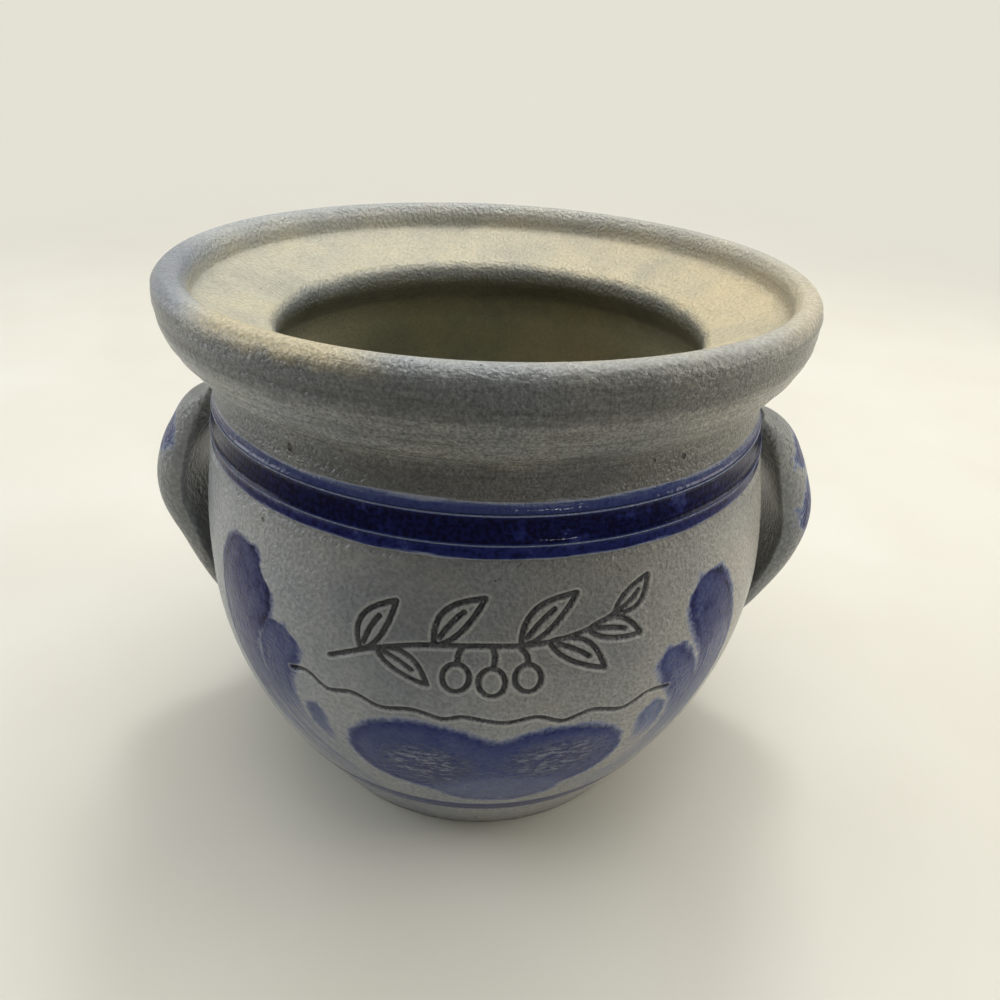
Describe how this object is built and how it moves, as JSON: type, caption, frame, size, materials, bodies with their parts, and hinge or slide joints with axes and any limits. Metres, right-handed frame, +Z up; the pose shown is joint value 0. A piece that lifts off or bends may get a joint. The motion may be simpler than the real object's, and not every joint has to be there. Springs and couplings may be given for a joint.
{
  "type": "olive jar",
  "caption": "Small round-bellied salt-glazed stoneware jar with a flared rim seat for a lid and strap handles at its sides, for olives and other preserved food.",
  "frame": {"origin": "centre of the foot, on the surface that the jar stands on", "axes": "+Z up along the axis the jar was thrown on, +X towards the right handle, -Y towards the decorated front"},
  "size_m": [0.1578, 0.1312, 0.12],
  "materials": {
    "stoneware_body": "salt glaze",
    "stoneware_handle": "salt glaze"
  },
  "bodies": {
    "root": {"jar_body": "stoneware_body", "left_handle": "stoneware_handle", "right_handle": "stoneware_handle"}
  },
  "joints": []
}
